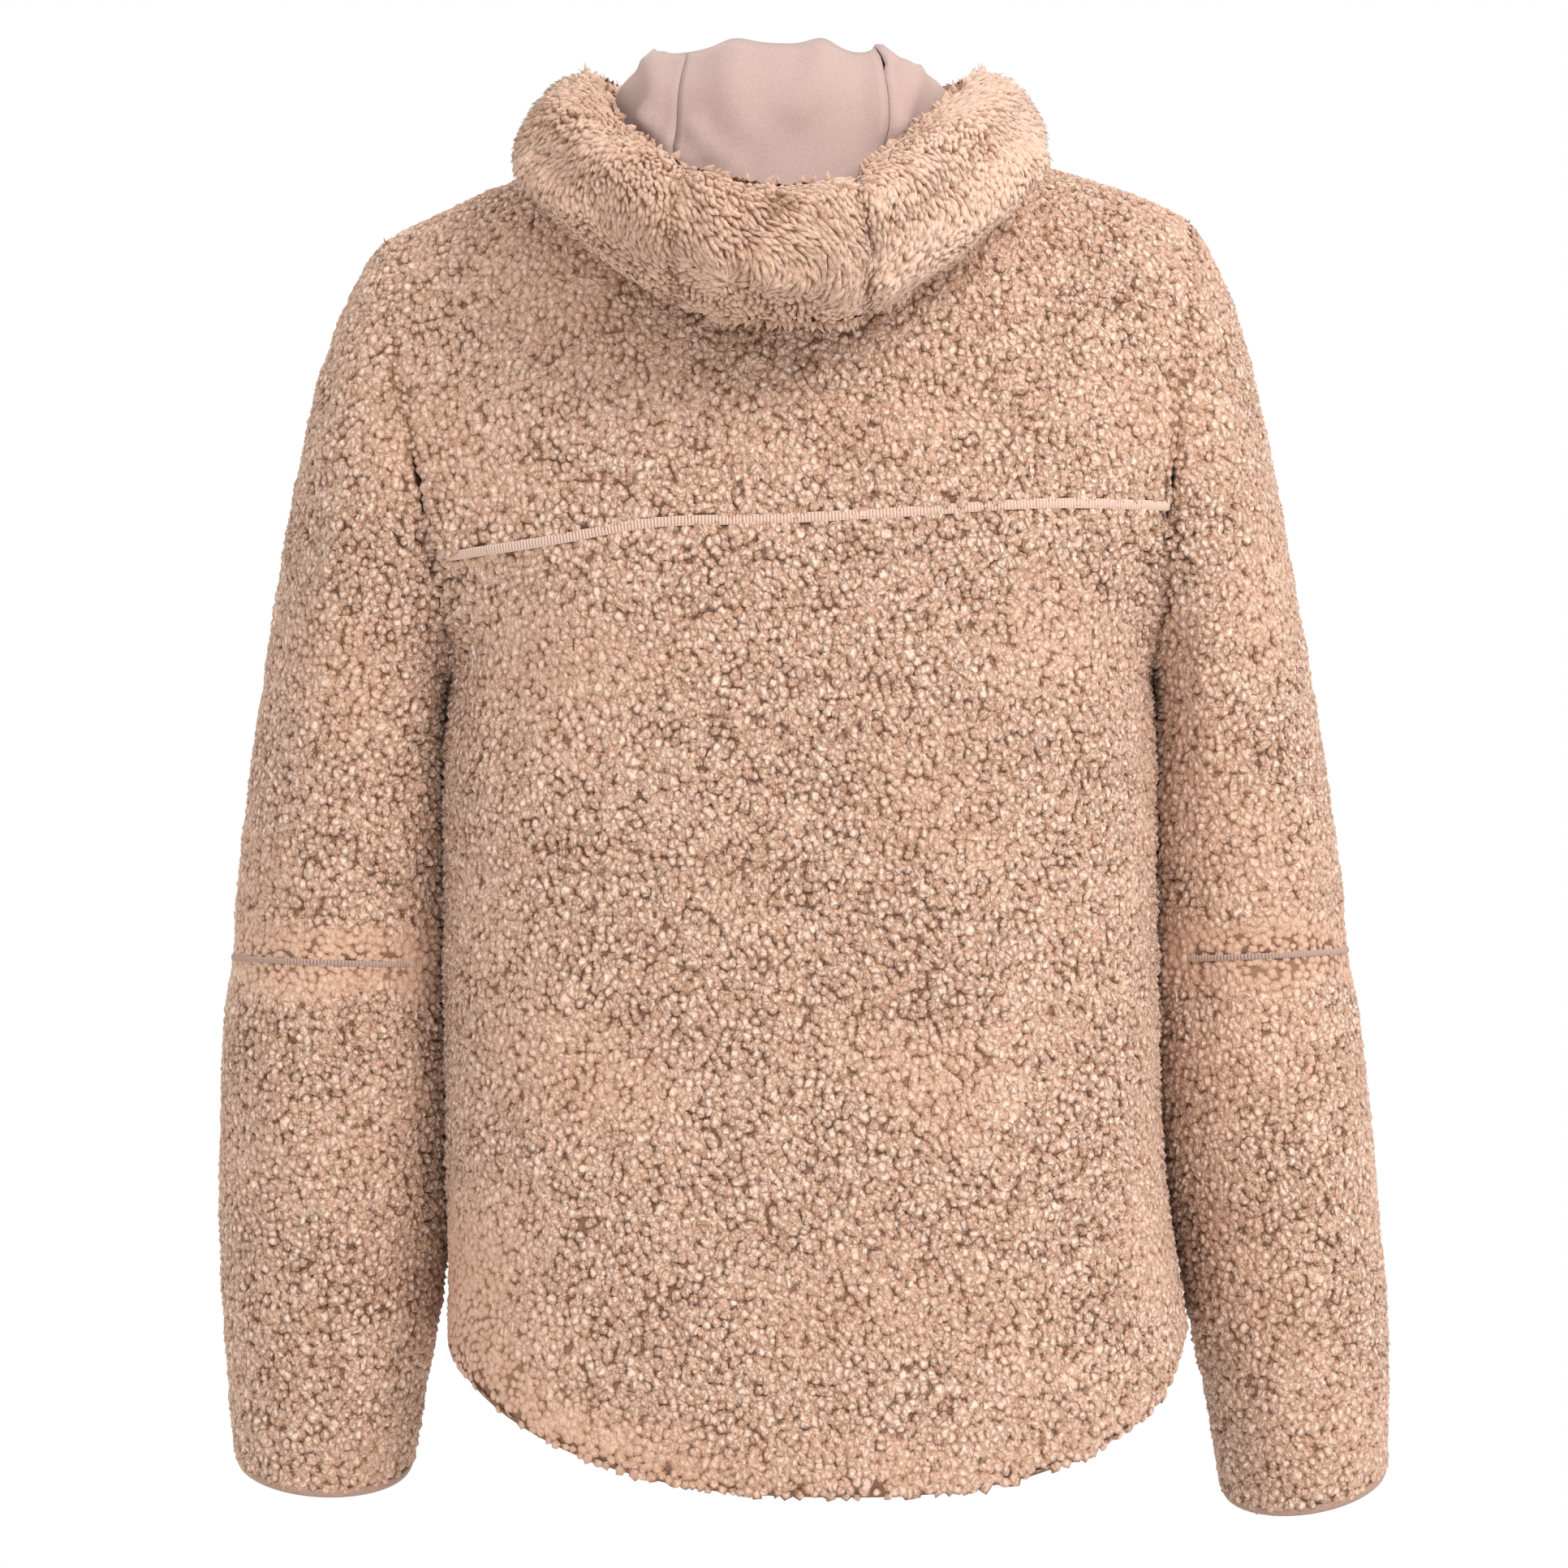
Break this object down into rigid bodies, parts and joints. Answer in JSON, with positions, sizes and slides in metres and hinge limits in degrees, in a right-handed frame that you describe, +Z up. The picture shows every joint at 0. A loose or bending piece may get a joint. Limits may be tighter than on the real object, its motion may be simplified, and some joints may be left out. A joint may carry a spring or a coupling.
{
  "type": "sherpa hoodie",
  "caption": "Long-sleeved pullover in curly sherpa fleece, worn and hollow, with a jersey-lined hood hanging down behind the neck and a curved hem.",
  "frame": {"origin": "between the wearer's shoulders, in the middle of the neck opening, where the garment is held", "axes": "+Z up, -Y towards the back of the garment, +X towards its right sleeve as seen from behind"},
  "size_m": [0.6274, 0.3113, 0.7691],
  "materials": {
    "sherpa": "curly sherpa pile",
    "hood_sherpa": "combed sherpa pile",
    "jersey": "smooth cotton jersey"
  },
  "bodies": {
    "root": {"front_panel": "sherpa", "yoke_back": "sherpa", "back_panel": "sherpa", "sleeve_upper_left": "sherpa", "sleeve_upper_right": "sherpa", "sleeve_lower_left": "sherpa", "sleeve_lower_right": "sherpa", "hood_left": "hood_sherpa", "hood_centre": "hood_sherpa", "hood_right": "hood_sherpa", "lining_left": "jersey", "lining_centre": "jersey", "lining_right": "jersey", "cuff_binding_left": "jersey", "cuff_binding_right": "jersey"}
  },
  "joints": []
}
